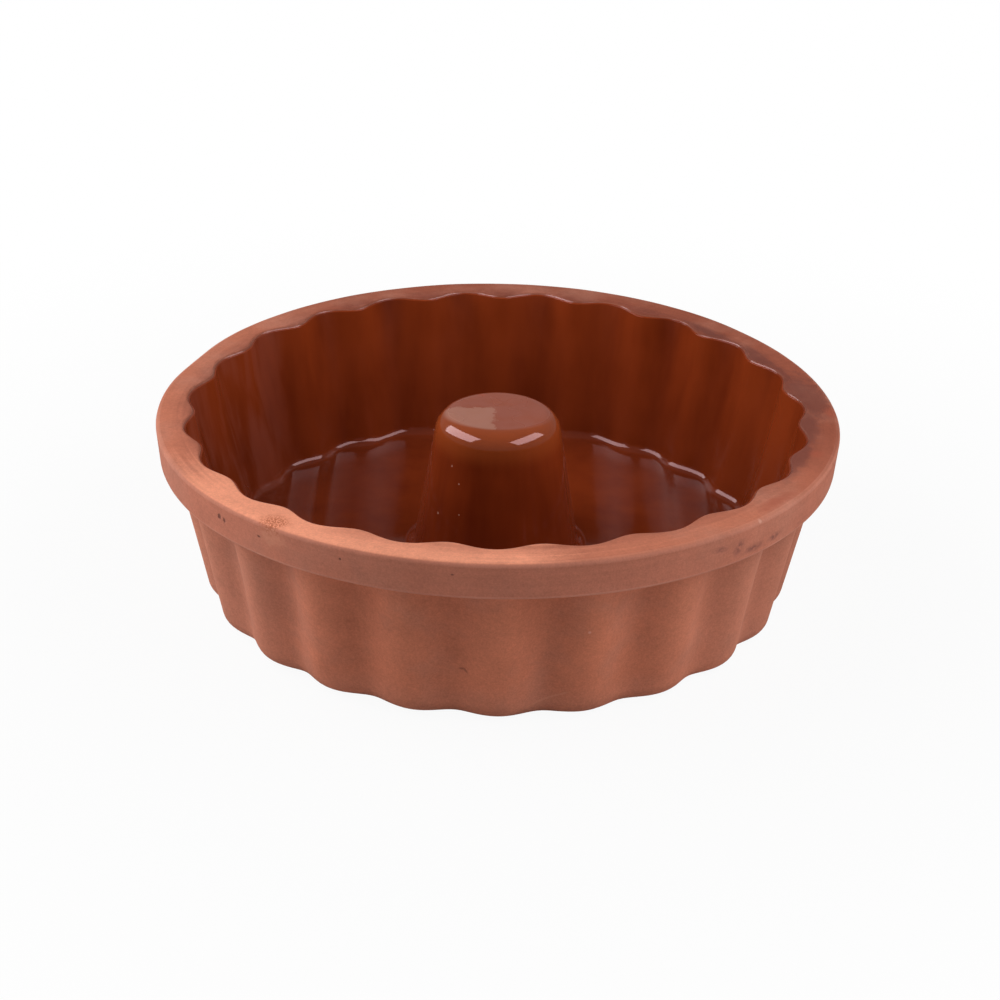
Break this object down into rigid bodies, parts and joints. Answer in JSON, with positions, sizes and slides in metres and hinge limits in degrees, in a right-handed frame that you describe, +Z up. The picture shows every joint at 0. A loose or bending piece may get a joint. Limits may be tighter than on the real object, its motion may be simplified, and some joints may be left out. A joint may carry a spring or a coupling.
{
  "type": "clay baking dish",
  "caption": "Round fluted ring-cake dish of unglazed clay with a plain rim band, a closed centre cone and a glossy brown glazed inside.",
  "frame": {"origin": "middle of the foot, on the surface that the dish stands on", "axes": "+Z up along the axis of the dish; -Y is the front, where a lobe's crest is"},
  "size_m": [0.2598, 0.2598, 0.0735],
  "materials": {
    "terracotta": "unglazed fired clay, matt",
    "brown_glaze": "glossy transparent brown glaze"
  },
  "bodies": {
    "root": {"fluted_wall": "terracotta", "rim_band": "terracotta", "base_disc": "terracotta", "centre_cone": "terracotta", "interior_glaze": "brown_glaze"}
  },
  "joints": []
}
